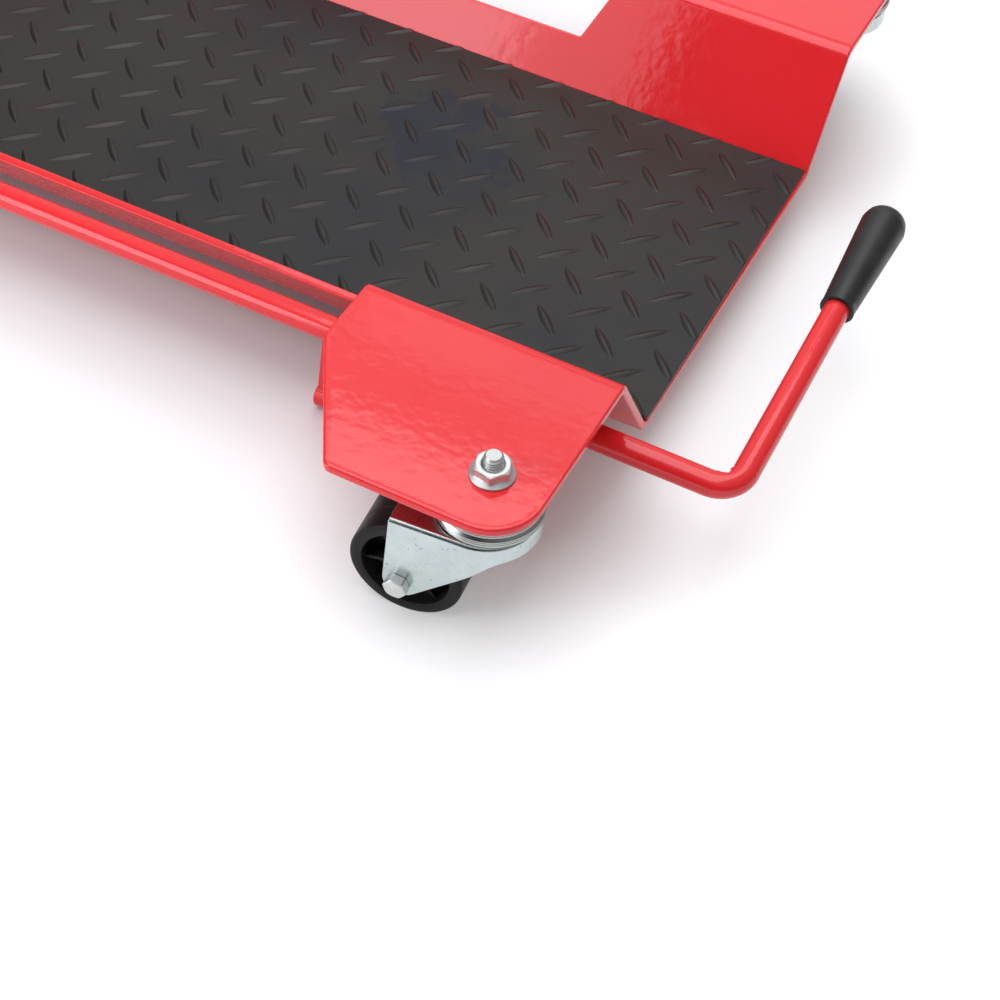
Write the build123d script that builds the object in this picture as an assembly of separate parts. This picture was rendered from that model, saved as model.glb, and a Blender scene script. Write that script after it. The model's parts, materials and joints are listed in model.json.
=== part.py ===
from build123d import *

import os
from math import atan2, cos, radians, sin, tan

# Motorcycle dolly. Millimetres, +Z up, ground at z = 0, +X towards the lever end, brake on the -Y side.
# The pieces are drawn about the middle of the deck and moved at the end, so that the origin lies on the
# ground under the middle of the whole footprint.

# Deck pan: one steel sheet, bent into a floor, two leaning webs and four wings
LENGTH = 760.0
SHEET = 5.0
MAT_TOP = 34.5
MAT_THICKNESS = 3.0
WEB_FOOT_Y = 119.2
CREST_Y = 158.2
WING_TOP = 96.0
WING_EDGE_Y = 277.0
BEND_INSIDE = 4.0
NOTCH_HEIGHT = 59.5
NOTCH_INSET_LOW = 161.5
NOTCH_CORNER = 1.5
WING_INSET = 144.5
WING_FRONT_INSET = 101.0
WING_SLANT_Y = 202.0
WING_CORNERS = [27.0, 6.0, 12.0]

# Rubber mat
MAT_GAP = 1.2
MAT_FOOT_GAP = 2.6

# Brake bar
ROD_RADIUS = 7.0
ROD_Y = -164.0
ROD_Z = 58.5
ROD_TAIL_INSET = 46.0
LEVER_REACH = 65.5
LEVER_BEND = 14.5
LEVER_TILT = 4.9
LEVER_LENGTH = 204.0
GRIP_START = 137.5
GRIP_END = 215.6
GRIP_MOUTH_RADIUS = 9.2
GRIP_RADIUS = 12.7
GRIP_DOME = 9.0
GRIP_SHOULDER = 4.0
GRIP_CROWN_INSET = 2.0
GRIP_LIP = 0.25
GRIP_LIP_LENGTH = 1.2

# Brake feet and the gussets that carry the rod
FOOT_RADIUS = 7.0
FOOT_INSET = 134.0
FOOT_TOP_HALF = 32.0
FOOT_LOW_HALF = 36.4
FOOT_BAR_HALF = 37.0
FOOT_CHAMFER = 0.8
FOOT_PLATE = 6.0
GROUND_GAP = 0.4
GUSSET_THICKNESS = 5.0
GUSSET_INSETS = [56.0, 93.0]
GUSSET_LOW = 44.0
GUSSET_FRONT_LOW = 175.5
GUSSET_FRONT_TOP = 181.0
GUSSET_CORNER = 12.0
WELD_RELIEF = 6.0

# Casters
BOLT_INSET = 30.0
BOLT_Y = 243.0
YAW = {"front_right": 4.8, "front_left": 3.0, "rear_right": 0.0, "rear_left": 0.0}
WHEEL_RADIUS = 30.0
WHEEL_HALF_WIDTH = 20.5
WHEEL_EDGE = 1.2
RECESS_RADIUS = 23.4
WEB_HALF = 9.5
HUB_RADIUS = 10.0
HUB_HALF = 25.3
HUB_EDGE = 0.8
RIBS = 6
RIB_THICKNESS = 2.6
RIB_DROP = 3.5
RIB_PHASE = 10.0
RIB_ROOT = 1.0
TRAIL = 33.8

# Caster fork
FORK_TOP = 73.7
FORK_SHEET = 2.5
FORK_HALF = 28.5
FORK_BEND = 3.0
FORK_NOSE_SETBACK = 2.2
FORK_LIP = 11.1
LEG_REAR_TOP = 39.7
LEG_REAR_LOW = 43.8
LEG_EYE = 9.4
LEG_SLOPE = 44.2
LEG_CORNER = 14.0

# Caster bearing
RACE_STEPS = [(22.5, 2.0), (24.6, 7.4), (26.0, 11.2), (27.3, 16.4)]
RACE_BLEND = 1.2
RACE_CAVITY = 14.0
RACE_ROOF = 4.0
BALLS = 10
BALL_RADIUS = 3.0
BALL_CIRCLE = 20.3
BALL_ROOM = 0.3
WASHER_RADIUS = 15.0
WASHER_THICKNESS = 3.0

# Fasteners: thread radius, distance across flats and head or nut height
KING_RADIUS = 5.0
KING_FLATS = 17.0
KING_HEAD = 6.4
KING_TIP = 13.0
KING_CHAMFER = 1.0
NUT_HEIGHT = 7.6
NUT_FLANGE_RADIUS = 11.25
NUT_FLANGE = 1.8
NUT_CONE_INSET = 0.5
NUT_TURN = -11.4
AXLE_RADIUS = 4.0
AXLE_FLATS = 13.0
AXLE_HEAD = 5.5
AXLE_NUT = 6.5
AXLE_TIP = 2.2
AXLE_CHAMFER = 0.8
SLEEVE_RADIUS = 6.0

HEX_CHAMFER = 30.0
HEX_FACE = 0.95
HEX_OVER = 0.2

# Fits
RUNNING = 0.06
CLEAR = 0.3

# Values that follow from the sizes above
END_X = LENGTH / 2
FLOOR_TOP = MAT_TOP - MAT_THICKNESS
WING_UNDER = WING_TOP - SHEET
AXLE_Z = WHEEL_RADIUS
LEAN = atan2(CREST_Y - WEB_FOOT_Y, WING_TOP - MAT_TOP)
FORK_INNER = FORK_HALF - FORK_SHEET
FORK_UNDER = FORK_TOP - FORK_SHEET
WASHER_TOP = FORK_UNDER - CLEAR
KING_HEAD_TOP = WASHER_TOP - WASHER_THICKNESS
LEVER_CORNER = Vector(END_X + LEVER_REACH, ROD_Y, ROD_Z)
LEVER_AXIS = Vector(0, cos(radians(LEVER_TILT)), sin(radians(LEVER_TILT)))
FRONT_REACH = END_X + LEVER_REACH + GRIP_RADIUS
REAR_REACH = END_X - BOLT_INSET + TRAIL + WHEEL_RADIUS
DECK_MIDDLE_X = (REAR_REACH - FRONT_REACH) / 2


def web_inside(height):
    """Distance of a web's inner face from the centre line at a height."""
    return WEB_FOOT_Y + (height - MAT_TOP) * tan(LEAN)


def web_outside(height):
    """Distance of a web's outer face from the centre line at a height."""
    return web_inside(height) + SHEET / cos(LEAN)


def rounded_face(points, radii):
    """Closed outline with one corner radius per point."""
    return make_face(FilletPolyline(*points, radius=radii, close=True))


def turned(points, radii=None):
    """Solid of revolution about Z from a closed outline of (radius, height) points."""
    outline = rounded_face(points, radii or [0] * len(points))
    return revolve(Plane.XZ * outline, Axis.Z)


def hexagon_bar(flats, low, high, chamfered_ends):
    """Upright hexagonal bar with the usual turned chamfer on some of its ends."""
    corner = flats / 2 / cos(radians(30))
    bar = Pos(0, 0, low) * extrude(RegularPolygon(corner, 6), high - low)
    flat = HEX_FACE * flats / 2
    reach = corner + HEX_OVER
    chamfer = (reach - flat) * tan(radians(HEX_CHAMFER))
    if "high" in chamfered_ends:
        bar &= turned([(0, low), (reach, low), (reach, high - chamfer), (flat, high), (0, high)])
    if "low" in chamfered_ends:
        bar &= turned([(0, high), (reach, high), (reach, low + chamfer), (flat, low), (0, low)])
    return bar


def upright_tube(outer, inner, low, high):
    """Plain tube about Z."""
    return turned([(inner, low), (outer, low), (outer, high), (inner, high)])


def pan_section():
    """Section of the bent sheet, floor in the middle and a wing at each end."""
    outside = BEND_INSIDE + SHEET
    floor_under = FLOOR_TOP - SHEET
    half = [
        (web_inside(FLOOR_TOP), FLOOR_TOP),
        (CREST_Y, WING_TOP),
        (WING_EDGE_Y, WING_TOP),
        (WING_EDGE_Y, WING_UNDER),
        (web_outside(WING_UNDER), WING_UNDER),
        (web_outside(floor_under), floor_under),
    ]
    radii = [BEND_INSIDE, outside, 0, 0, BEND_INSIDE, outside]
    other_half = [(-y, z) for y, z in reversed(half)]
    return rounded_face(half + other_half, radii + radii[::-1])


def wing_outline():
    """Plan of the wing at +X, +Y: square outer end, slanted inner corner."""
    inner_y = CREST_Y - 2 * SHEET
    points = [
        (END_X, inner_y),
        (END_X, WING_EDGE_Y),
        (END_X - WING_FRONT_INSET, WING_EDGE_Y),
        (END_X - WING_INSET, WING_SLANT_Y),
        (END_X - WING_INSET, inner_y),
    ]
    return rounded_face(points, [0, *WING_CORNERS, 0])


def web_notch():
    """Cut that lowers the +Y web between its two wings, square to the leaning sheet."""
    foot = Vector(0, web_inside(FLOOR_TOP), FLOOR_TOP)
    web_plane = Plane(foot, x_dir=(-1, 0, 0), z_dir=(0, cos(LEAN), -sin(LEAN)))
    low = (NOTCH_HEIGHT - FLOOR_TOP) / cos(LEAN)
    crest = (WING_TOP - FLOOR_TOP) / cos(LEAN)
    above = crest + 3 * SHEET
    low_half = END_X - NOTCH_INSET_LOW
    high_half = END_X - WING_INSET
    points = [
        (-low_half, low),
        (low_half, low),
        (high_half, crest),
        (high_half, above),
        (-high_half, above),
        (-high_half, crest),
    ]
    outline = rounded_face(points, [NOTCH_CORNER, NOTCH_CORNER, 0, 0, 0, 0])
    return extrude(web_plane * outline, 4 * SHEET, both=True)


def deck_pan():
    pan = extrude(Plane.YZ * pan_section(), END_X, both=True)

    # Everything outside the wing outlines falls away from the two horizontal flanges
    trim_depth = WING_EDGE_Y - CREST_Y + 2 * SHEET
    trim_middle = CREST_Y - SHEET + trim_depth / 2
    trim = Pos(0, trim_middle) * Rectangle(LENGTH + 2 * SHEET, trim_depth)
    trim -= wing_outline() + mirror(wing_outline(), Plane.YZ)
    trim = Pos(0, 0, WING_UNDER - SHEET) * extrude(trim, 3 * SHEET)

    for cut in (trim, web_notch()):
        pan -= cut
        pan -= mirror(cut, Plane.XZ)

    for x, y in caster_points().values():
        pan -= Pos(x, y, WING_TOP) * Cylinder(KING_RADIUS + CLEAR, 4 * SHEET)
    return pan


def deck_mat():
    top = WEB_FOOT_Y - MAT_GAP
    bottom = web_inside(FLOOR_TOP) - MAT_FOOT_GAP
    points = [(-bottom, FLOOR_TOP), (bottom, FLOOR_TOP), (top, MAT_TOP), (-top, MAT_TOP)]
    return extrude(Plane.YZ * make_face(Polyline(*points, close=True)), END_X, both=True)


def rod_gusset(x):
    """Plate between web and wing with the rod's bearing hole, set square to the rod."""
    points = [
        (-web_outside(GUSSET_LOW), GUSSET_LOW),
        (-web_outside(WING_UNDER - WELD_RELIEF), WING_UNDER - WELD_RELIEF),
        (-web_outside(WING_UNDER) - WELD_RELIEF, WING_UNDER),
        (-GUSSET_FRONT_TOP, WING_UNDER),
        (-GUSSET_FRONT_LOW, GUSSET_LOW),
    ]
    outline = rounded_face(points, [0, 0, 0, 0, GUSSET_CORNER])
    outline -= Pos(ROD_Y, ROD_Z) * Circle(ROD_RADIUS + RUNNING)
    return Pos(x, 0, 0) * extrude(Plane.YZ * outline, GUSSET_THICKNESS / 2, both=True)


def brake_rod():
    tail = Vector(-END_X + ROD_TAIL_INSET, ROD_Y, ROD_Z)
    path = FilletPolyline(tail, LEVER_CORNER, LEVER_CORNER + LEVER_AXIS * LEVER_LENGTH, radius=LEVER_BEND)
    return sweep(Plane(tail, z_dir=(1, 0, 0)) * Circle(ROD_RADIUS), path)


def lever_grip():
    """Conical grip with a thin lip at its mouth, a domed end and a blind bore for the lever."""
    shoulder = GRIP_END - GRIP_DOME
    lip_end = GRIP_START + GRIP_LIP_LENGTH
    lip_radius = GRIP_MOUTH_RADIUS + GRIP_LIP
    bore = ROD_RADIUS + RUNNING
    bore_end = LEVER_LENGTH + CLEAR
    points = [
        (bore, GRIP_START),
        (lip_radius, GRIP_START),
        (lip_radius, lip_end),
        (GRIP_MOUTH_RADIUS, lip_end),
        (GRIP_RADIUS, shoulder),
        (GRIP_RADIUS - GRIP_CROWN_INSET, GRIP_END),
        (0, GRIP_END),
        (0, bore_end),
        (bore, bore_end),
    ]
    crown = GRIP_DOME - GRIP_CROWN_INSET
    grip = turned(points, [0, GRIP_LIP, 0, 0, GRIP_SHOULDER, crown, 0, 0, 0])
    return Plane(LEVER_CORNER, x_dir=(1, 0, 0), z_dir=LEVER_AXIS) * grip


def brake_foot(x):
    """Splayed plate that hangs from the rod, its lower edge let into a bar that just clears the ground."""
    bar_z = GROUND_GAP + FOOT_RADIUS
    points = [
        (-FOOT_TOP_HALF, ROD_Z),
        (FOOT_TOP_HALF, ROD_Z),
        (FOOT_LOW_HALF, bar_z),
        (-FOOT_LOW_HALF, bar_z),
    ]
    plate = extrude(Plane.XZ * make_face(Polyline(*points, close=True)), FOOT_PLATE / 2, both=True)
    end_radius = FOOT_RADIUS - FOOT_CHAMFER
    shoulder = FOOT_BAR_HALF - FOOT_CHAMFER
    bar = turned([
        (0, -FOOT_BAR_HALF),
        (end_radius, -FOOT_BAR_HALF),
        (FOOT_RADIUS, -shoulder),
        (FOOT_RADIUS, shoulder),
        (end_radius, FOOT_BAR_HALF),
        (0, FOOT_BAR_HALF),
    ])
    saddle = Pos(0, 0, ROD_Z) * Rot(0, 90, 0) * Cylinder(ROD_RADIUS, 4 * FOOT_BAR_HALF)
    return Pos(x, ROD_Y, 0) * (plate + Pos(0, 0, bar_z) * Rot(0, 90, 0) * bar - saddle)


def king_bolt():
    head = hexagon_bar(KING_FLATS, KING_HEAD_TOP - KING_HEAD, KING_HEAD_TOP, "low")
    tip = WING_TOP + KING_TIP
    shank = turned([
        (0, KING_HEAD_TOP),
        (KING_RADIUS, KING_HEAD_TOP),
        (KING_RADIUS, tip - KING_CHAMFER),
        (KING_RADIUS - KING_CHAMFER, tip),
        (0, tip),
    ])
    return head + shank


def flange_nut():
    top = WING_TOP + NUT_HEIGHT
    rim = WING_TOP + NUT_FLANGE / 2
    cone_top = WING_TOP + 2 * NUT_FLANGE
    cone_radius = KING_FLATS / 2 - NUT_CONE_INSET
    flange = turned([
        (0, WING_TOP),
        (NUT_FLANGE_RADIUS, WING_TOP),
        (NUT_FLANGE_RADIUS, rim),
        (cone_radius, cone_top),
        (0, cone_top),
    ])
    nut = flange + hexagon_bar(KING_FLATS, WING_TOP, top, "high")
    nut -= Pos(0, 0, WING_TOP) * Cylinder(KING_RADIUS, 3 * NUT_HEIGHT)
    return Rot(0, 0, NUT_TURN) * nut


def swivel_race():
    """Stepped race that the wing sits on, hollow round the bolt, with a ball groove below."""
    outer = []
    level = WING_UNDER
    for radius, depth in RACE_STEPS:
        outer += [(radius, level), (radius, WING_UNDER - depth)]
        level = WING_UNDER - depth - RACE_BLEND
    bottom = outer[-1][1]
    roof = WING_UNDER - RACE_ROOF
    bore = KING_RADIUS + CLEAR
    race = turned([(bore, WING_UNDER), *outer, (RACE_CAVITY, bottom), (RACE_CAVITY, roof), (bore, roof)])
    groove = Torus(BALL_CIRCLE, BALL_RADIUS + BALL_ROOM)
    return race - Pos(0, 0, FORK_TOP + BALL_RADIUS) * groove


def race_balls():
    circle = PolarLocations(BALL_CIRCLE, BALLS)
    balls = [spot * Sphere(BALL_RADIUS) for spot in circle]
    return Pos(0, 0, FORK_TOP + BALL_RADIUS) * Compound(children=balls)


def thrust_washer():
    return upright_tube(WASHER_RADIUS, KING_RADIUS + CLEAR, WASHER_TOP - WASHER_THICKNESS, WASHER_TOP)


def fork_plan(half, length):
    """Plan of the fork: round nose, straight sides to the rear."""
    plan = Circle(half) + Pos(length / 2, 0) * Rectangle(length, 2 * half)
    return Pos(FORK_NOSE_SETBACK, 0) * plan


def lower_edge(tail):
    """Height of the leg's slanted lower edge at a distance behind the swivel axis."""
    slope = radians(LEG_SLOPE)
    return AXLE_Z - (LEG_EYE + sin(slope) * (tail - TRAIL)) / cos(slope)


def fork_side():
    """Side view of the fork: shallow lip at the front, legs that narrow down to the axle."""
    slope = radians(LEG_SLOPE)
    lip_low = FORK_TOP - FORK_LIP
    lip_end = TRAIL + ((AXLE_Z - lip_low) * cos(slope) - LEG_EYE) / sin(slope)
    front = -2 * FORK_HALF
    above = FORK_TOP + FORK_SHEET
    points = [
        (front, lip_low),
        (front, above),
        (LEG_REAR_TOP, above),
        (LEG_REAR_LOW, lower_edge(LEG_REAR_LOW)),
        (lip_end, lip_low),
    ]
    return rounded_face(points, [0, 0, 0, LEG_EYE, LEG_CORNER])


def fork():
    """Pressed fork: a capped shell cut to the side view."""
    reach = 3 * FORK_HALF
    outside = extrude(fork_plan(FORK_HALF, reach), FORK_TOP)
    outside = fillet(outside.faces().sort_by(Axis.Z)[-1].edges(), FORK_BEND)
    inside = extrude(fork_plan(FORK_INNER, 2 * reach), FORK_UNDER)
    inside = fillet(inside.faces().sort_by(Axis.Z)[-1].edges(), FORK_BEND - FORK_SHEET)
    shell = outside - inside
    shell &= extrude(Plane.XZ * fork_side(), 2 * FORK_HALF, both=True)
    shell -= Pos(0, 0, FORK_TOP) * Cylinder(KING_RADIUS + RUNNING, 4 * FORK_SHEET)
    return shell - along_axle(Cylinder(AXLE_RADIUS + RUNNING, 3 * FORK_HALF))


def along_axle(upright):
    """Turns an upright piece onto the wheel axle, its top to the side with the bolt head."""
    return Pos(TRAIL, 0, AXLE_Z) * Rot(-90, 0, 0) * upright


def axle_bolt():
    head = hexagon_bar(AXLE_FLATS, FORK_HALF, FORK_HALF + AXLE_HEAD, "high")
    tip = -FORK_HALF - AXLE_NUT - AXLE_TIP
    shank = turned([
        (0, FORK_HALF),
        (AXLE_RADIUS, FORK_HALF),
        (AXLE_RADIUS, tip + AXLE_CHAMFER),
        (AXLE_RADIUS - AXLE_CHAMFER, tip),
        (0, tip),
    ])
    return along_axle(head + shank)


def axle_nut():
    nut = hexagon_bar(AXLE_FLATS, -FORK_HALF - AXLE_NUT, -FORK_HALF, "low high")
    return along_axle(nut - Cylinder(AXLE_RADIUS, 4 * FORK_HALF))


def axle_sleeve():
    return along_axle(upright_tube(SLEEVE_RADIUS, AXLE_RADIUS + RUNNING, -FORK_INNER, FORK_INNER))


def wheel():
    """Wheel with a flat tread, a deep recess on each face, ribs and a long hub."""
    bore = SLEEVE_RADIUS + RUNNING
    half = [
        (bore, HUB_HALF),
        (HUB_RADIUS, HUB_HALF),
        (HUB_RADIUS, WEB_HALF),
        (RECESS_RADIUS, WEB_HALF),
        (RECESS_RADIUS, WHEEL_HALF_WIDTH),
        (WHEEL_RADIUS, WHEEL_HALF_WIDTH),
    ]
    radii = [0, HUB_EDGE, 0, 0, 0, WHEEL_EDGE]
    other_half = [(r, -z) for r, z in reversed(half)]
    body = turned(half + other_half, radii + radii[::-1])

    rib_middle = (HUB_RADIUS + RECESS_RADIUS) / 2
    rib_length = RECESS_RADIUS - HUB_RADIUS + 2 * RIB_ROOT
    rib_height = 2 * (WHEEL_HALF_WIDTH - RIB_DROP)
    rib = Pos(rib_middle, 0, 0) * Box(rib_length, RIB_THICKNESS, rib_height)
    body += [Rot(0, 0, RIB_PHASE + 360 / RIBS * turn) * rib for turn in range(RIBS)]
    return along_axle(body)


def caster_points():
    """Swivel axis of each caster on the drawing about the middle of the deck."""
    x = END_X - BOLT_INSET
    return {
        "front_right": (x, -BOLT_Y),
        "front_left": (x, BOLT_Y),
        "rear_right": (-x, -BOLT_Y),
        "rear_left": (-x, BOLT_Y),
    }


def caster_pieces():
    """Pieces of one caster about its swivel axis, wheel towards +X."""
    return {
        "king_bolt": king_bolt(),
        "flange_nut": flange_nut(),
        "swivel_race": swivel_race(),
        "race_balls": race_balls(),
        "thrust_washer": thrust_washer(),
        "fork": fork(),
        "axle_bolt": axle_bolt(),
        "axle_nut": axle_nut(),
        "axle_sleeve": axle_sleeve(),
        "wheel": wheel(),
    }


def dolly():
    """Every piece by name, drawn about the middle of the deck."""
    pieces = {
        "deck_pan": deck_pan(),
        "deck_mat": deck_mat(),
        "brake_rod": brake_rod(),
        "lever_grip": lever_grip(),
        "brake_foot_front": brake_foot(END_X - FOOT_INSET),
        "brake_foot_rear": brake_foot(FOOT_INSET - END_X),
    }
    gusset_stations = [END_X - inset for inset in GUSSET_INSETS]
    gusset_stations += [-x for x in reversed(gusset_stations)]
    for number, x in enumerate(gusset_stations, start=1):
        pieces[f"rod_gusset_{number}"] = rod_gusset(x)

    one_caster = caster_pieces()
    for corner, (x, y) in caster_points().items():
        seat = Location((x, y, 0), (0, 0, 180 + YAW[corner]))
        for name, piece in one_caster.items():
            pieces[f"{corner}_{name}"] = seat * piece
    return pieces


os.makedirs("parts", exist_ok=True)
for node, piece in dolly().items():
    export_step(Pos(DECK_MIDDLE_X, 0, 0) * piece, f"parts/{node}.step")
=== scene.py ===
"""Looks of a motorcycle dolly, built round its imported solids.

Every piece stands in the frame of the solids, in metres: +X towards the lever, the brake on the -Y side,
the ground at z = 0. The file is laid out as an add-on with one operator for each group of pieces.
"""
import json
from math import atan2, cos, exp, pi, radians, sin, tau

import bmesh
import bpy
from bpy.props import FloatProperty, FloatVectorProperty, PointerProperty
from mathutils import Matrix, Vector


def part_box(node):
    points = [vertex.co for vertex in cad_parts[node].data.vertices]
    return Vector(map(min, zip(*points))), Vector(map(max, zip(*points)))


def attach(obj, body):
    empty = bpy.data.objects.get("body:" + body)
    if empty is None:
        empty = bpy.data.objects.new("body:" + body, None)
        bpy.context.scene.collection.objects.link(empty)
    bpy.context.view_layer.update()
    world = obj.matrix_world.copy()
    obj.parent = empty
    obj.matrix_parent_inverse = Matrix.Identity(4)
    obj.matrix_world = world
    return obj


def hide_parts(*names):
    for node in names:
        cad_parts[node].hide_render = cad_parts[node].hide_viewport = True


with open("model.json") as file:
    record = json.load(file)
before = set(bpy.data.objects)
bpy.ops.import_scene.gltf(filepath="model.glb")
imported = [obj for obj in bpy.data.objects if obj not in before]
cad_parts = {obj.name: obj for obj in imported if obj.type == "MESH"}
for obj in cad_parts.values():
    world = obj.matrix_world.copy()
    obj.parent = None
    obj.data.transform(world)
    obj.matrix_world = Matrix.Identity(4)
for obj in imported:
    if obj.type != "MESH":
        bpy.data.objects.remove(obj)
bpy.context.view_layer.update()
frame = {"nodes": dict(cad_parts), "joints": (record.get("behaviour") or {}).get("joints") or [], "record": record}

bl_info = {
    "name": "Motorcycle dolly looks",
    "version": (1, 0, 0),
    "blender": (4, 5, 0),
    "location": "View3D > Sidebar > Dolly",
    "description": "Dresses the solids of a motorcycle dolly with finishes, tread, threads and welds",
    "category": "Object",
}

MM = 0.001
NOWHERE = (0.0, 0.0, 0.0)
CORNERS = ("front_right", "front_left", "rear_right", "rear_left")
FEET = ("brake_foot_front", "brake_foot_rear")
GUSSETS = ("rod_gusset_1", "rod_gusset_2", "rod_gusset_3", "rod_gusset_4")

# Places of the brake and its welds, as the solids have them
ROD_RADIUS = 0.007
ROD_Y = -0.164
ROD_Z = 0.0585
LEVER_BEND = 0.0145
LEVER_TILT = radians(4.9)
LEVER_LENGTH = 0.204
FOOT_TOP_HALF = 0.032
FOOT_BAR_Z = 0.0074
FOOT_PLATE = 0.006
WEB_SLOPE = 39.0 / 61.5
WELD_TOP = 0.084

# Radius of the edges that no setting gives
MAT_EDGE = 0.0004
BOLT_EDGE = 0.0003
SMALL_EDGE = 0.0002

# Spots of the mat that an old stain covers: x, y and reach
STAIN = ((0.136, 0.046, 0.032), (0.157, 0.018, 0.036), (0.163, 0.055, 0.022), (0.184, 0.026, 0.022))


# Settings that a user would change

def colour_setting(name, description, default):
    """Colour of a finish."""
    return FloatVectorProperty(
        name=name, description=description, subtype="COLOR", size=3, min=0.0, max=1.0, default=default)


def length_setting(name, description, default):
    """Length in metres."""
    return FloatProperty(
        name=name, description=description, subtype="DISTANCE", unit="LENGTH", default=default)


def place_setting(name, description, default):
    """Place or step of two or three lengths."""
    return FloatVectorProperty(
        name=name, description=description, subtype="XYZ", unit="LENGTH", size=len(default), default=default)


def power_setting(name, description, default):
    """Power of a light in watts."""
    return FloatProperty(name=name, description=description, unit="POWER", default=default)


def angle_setting(name, description, degrees):
    """Angle, its default given in degrees."""
    return FloatProperty(name=name, description=description, subtype="ANGLE", default=radians(degrees))


class DollyPaint(bpy.types.PropertyGroup):
    """Red powder coat of the sheet, the bar and the gussets."""

    red: colour_setting("Red", "Colour of the powder coat", (0.71, 0.0230, 0.0280))
    deep_red: colour_setting("Deep red", "Colour where the coat lies thicker", (0.66, 0.0190, 0.0235))
    roughness: FloatProperty(
        name="Roughness", description="Roughness of the coat", min=0.0, max=1.0, default=0.09)
    peel: length_setting("Orange peel", "Depth of the coat's waviness", 0.00008)
    edge: length_setting("Edge", "Radius that the coat leaves on a cut edge of the sheet", 0.0013)
    bead: length_setting("Edge bead", "Height that the coat builds up along the wings' cut edges", 0.00012)


class DollyRubber(bpy.types.PropertyGroup):
    """Rubber and plastic pieces."""

    mat: colour_setting("Mat", "Colour of the tread mat", (0.0088, 0.0078, 0.0064))
    mat_stain: colour_setting(
        "Mat stain", "Colour of the darker, bluer patches of the mat", (0.0046, 0.0053, 0.0070))
    wheel: colour_setting("Wheel", "Colour of the wheels", (0.0112, 0.0109, 0.0105))
    grip: colour_setting("Grip", "Colour of the lever's grip", (0.011, 0.011, 0.011))


class DollyMetal(bpy.types.PropertyGroup):
    """Plated steel pieces."""

    zinc: colour_setting("Zinc", "Colour of the plated fork", (0.53, 0.605, 0.60))
    bright: colour_setting("Bright zinc", "Colour of the bolts, the nuts and the race", (0.66, 0.69, 0.67))
    edge: length_setting("Edge", "Radius on the edges of the pressed steel", 0.00035)
    thread_pitch: length_setting("Thread pitch", "Pitch of the king bolt's thread", 0.0016)
    thread_depth: length_setting("Thread depth", "Depth of the king bolt's thread", 0.0010)
    bead: length_setting("Weld bead", "Half the width of a weld bead", 0.0022)


class DollyTread(bpy.types.PropertyGroup):
    """Raised lenses of the mat, on two square lattices turned against each other."""

    pitch: place_setting("Pitch", "Distance between lenses along and across the deck", (0.035268, 0.03491))
    start: place_setting(
        "Start", "One lens, measured from the middle of the mat's lever end", (-0.00829, -0.0072))
    length: length_setting("Length", "Length of a lens", 0.0278)
    width: length_setting("Width", "Width of a lens", 0.0058)
    height: length_setting("Height", "Height of a lens", 0.0011)


class DollyStage(bpy.types.PropertyGroup):
    """Floor, light and camera."""

    floor: colour_setting("Floor", "Colour of the floor", (0.60, 0.60, 0.60))
    sky: FloatProperty(name="Sky", description="Strength of the light from all round", default=0.43)
    overhead: power_setting("Overhead", "Power of the light above", 27.5)
    strip: power_setting("Strip", "Power of the narrow light behind it", 1.0)
    back: power_setting("Back", "Power of the last light of the row", 3.2)
    window: power_setting("Window", "Power of the light at the front left", 18.0)
    spill: power_setting("Spill", "Power beside that light's edge", 1.5)
    lens: FloatProperty(name="Lens", description="Focal length in millimetres", default=70.065)
    eye: place_setting("Eye", "Place of the camera", (0.571393, -0.797348, 0.766554))
    azimuth: angle_setting("Azimuth", "Turn of the camera round the dolly", 23.2866)
    elevation: angle_setting("Elevation", "Height of the camera's view", 48.6725)
    roll: angle_setting("Roll", "Lean of the camera", 4.9962)


# Nodes

def feed(socket, value):
    """Links a socket, or a node's first output, to an input, or sets the input to a plain value."""
    if isinstance(value, bpy.types.Node):
        value = value.outputs[0]
    if isinstance(value, bpy.types.NodeSocket):
        socket.id_data.links.new(value, socket)
    else:
        socket.default_value = value


def node(tree, kind, inputs=None, **settings):
    """Adds a node, sets its settings, and sets or links its inputs."""
    made = tree.nodes.new(kind)
    for key, value in settings.items():
        setattr(made, key, value)
    for key, value in (inputs or {}).items():
        feed(made.inputs[key], value)
    return made


def grain(coords, scale, detail=2.0, roughness=0.5, stretch=None):
    """Noise between 0 and 1, stretched along an axis if asked."""
    tree = coords.id_data
    if stretch:
        coords = node(tree, "ShaderNodeMapping", {"Vector": coords, "Scale": stretch})
    return node(tree, "ShaderNodeTexNoise", {
        "Vector": coords, "Scale": scale, "Detail": detail, "Roughness": roughness}).outputs["Fac"]


def spread(value, low, high, to_low=0.0, to_high=1.0):
    """Maps a stretch of a value onto another stretch, clamped at both ends."""
    return node(value.id_data, "ShaderNodeMapRange", {
        "Value": value, "From Min": low, "From Max": high, "To Min": to_low, "To Max": to_high},
        clamp=True).outputs["Result"]


def blended(amount, first, second):
    """Mix of two colours, each a socket or a plain colour."""
    pair = [value if isinstance(value, bpy.types.NodeSocket) else (*value, 1.0) for value in (first, second)]
    mix = node(amount.id_data, "ShaderNodeMix", {0: amount, 6: pair[0], 7: pair[1]}, data_type="RGBA")
    return mix.outputs[2]


def calc(first, second, operation="ADD"):
    """Sum, or another combination, of two numbers. At least one of them is a socket."""
    tree = (first if isinstance(first, bpy.types.NodeSocket) else second).id_data
    return node(tree, "ShaderNodeMath", {0: first, 1: second}, operation=operation).outputs["Value"]


def vector_math(operation, first, second=NOWHERE, output="Vector"):
    """Combination of two vectors, or the length or distance that it gives."""
    made = node(first.id_data, "ShaderNodeVectorMath", {0: first, 1: second}, operation=operation)
    return made.outputs[output]


def axes_of(place):
    """X, Y and Z of a vector."""
    return node(place.id_data, "ShaderNodeSeparateXYZ", {"Vector": place}).outputs


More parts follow.
